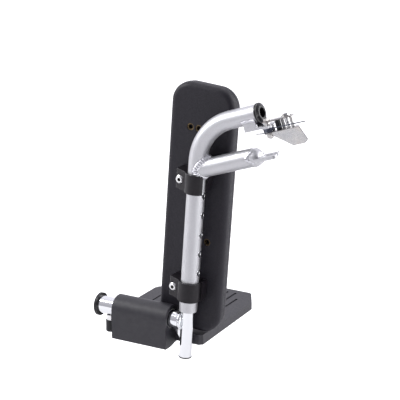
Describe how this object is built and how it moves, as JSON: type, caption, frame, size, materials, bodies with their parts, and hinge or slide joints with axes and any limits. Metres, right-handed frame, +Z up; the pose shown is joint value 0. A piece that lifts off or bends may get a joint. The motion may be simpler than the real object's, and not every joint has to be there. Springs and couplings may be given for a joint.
{
  "type": "wheelchair legrest",
  "caption": "Swing-away wheelchair legrest: bent hanger tube with fork and sprung latch, padded side panel on tube clamps, telescoping extension and a moulded footplate.",
  "frame": {"origin": "centre of the rounded end of the lower fork's open slot, on the swing-away hinge axis", "axes": "+Z up with the footplate level, +X to the rear of the wheelchair, along the footplate's stub, +Y under the foot, away from the clamp side"},
  "size_m": [0.2961, 0.1896, 0.3429],
  "materials": {
    "silver_paint": "satin metallic powder coat",
    "black_cap": "satin moulded plastic",
    "grey_bush": "plain acetal",
    "zinc_plate": "bright zinc plating",
    "spring_steel": "drawn wire",
    "black_clamp": "satin glass-filled nylon",
    "steel_screw": "polished stainless steel",
    "pad_skin": "fine-grained black vinyl",
    "plywood": "raw plywood core, hidden",
    "brass_insert": "dull brass",
    "chrome_tube": "polished chrome",
    "plate_plastic": "textured moulded plastic"
  },
  "bodies": {
    "hanger": {"hanger_tube": "silver_paint", "cross_arm_tube": "silver_paint", "lower_fork": "silver_paint", "upper_end_cap": "black_cap", "lower_bush": "grey_bush", "latch_bracket": "silver_paint", "latch_pivot_bolt": "zinc_plate", "latch_pivot_nut": "zinc_plate", "latch_spring": "spring_steel", "upper_clamp_strap": "black_clamp", "upper_clamp_saddle": "black_clamp", "lower_clamp_strap": "black_clamp", "lower_clamp_saddle": "black_clamp", "clamp_screws": "steel_screw", "panel_pad": "pad_skin", "panel_board": "plywood", "panel_inserts": "brass_insert"},
    "extension": {"extension_tube": "chrome_tube", "extension_glide": "black_cap", "stub_tube": "chrome_tube", "stub_gusset": "chrome_tube", "stub_end_cap": "black_cap", "stop_screw": "steel_screw", "stop_sleeve": "black_cap", "snap_spring": "spring_steel"},
    "button": {"snap_button": "steel_screw"},
    "footplate": {"footplate": "plate_plastic", "pivot_bushes": "grey_bush"},
    "latch": {"latch_lever": "zinc_plate", "catch_plate": "zinc_plate", "catch_posts": "zinc_plate", "catch_spacer": "black_cap", "catch_bolt": "steel_screw", "catch_nut": "zinc_plate"}
  },
  "joints": [
    {"name": "extension_slide", "type": "slide", "parent": "hanger", "child": "extension", "axis": [-0.0776, 0, -0.997], "range_m": [0, 0.0744], "deforming": ["snap_button"]},
    {"name": "snap_button_press", "type": "slide", "parent": "extension", "child": "button", "axis": [-0.997, 0, 0.0776], "range_m": [0, 0.0022], "stiffness_N_per_m": 1500, "springref_m": -0.002, "deforming": ["snap_spring"]},
    {"name": "footplate_tilt", "type": "hinge", "parent": "extension", "child": "footplate", "pos_m": [-0.16803, 0, -0.22509], "axis": [1, 0, 0], "range_deg": [0, 3]},
    {"name": "latch_turn", "type": "hinge", "parent": "hanger", "child": "latch", "pos_m": [0.00868, -0.011, 0.03653], "axis": [-0.3239, 0, 0.9461], "range_deg": [0, 18], "stiffness_Nm_per_rad": 0.6, "springref_deg": -20.05, "deforming": ["latch_spring"]}
  ]
}
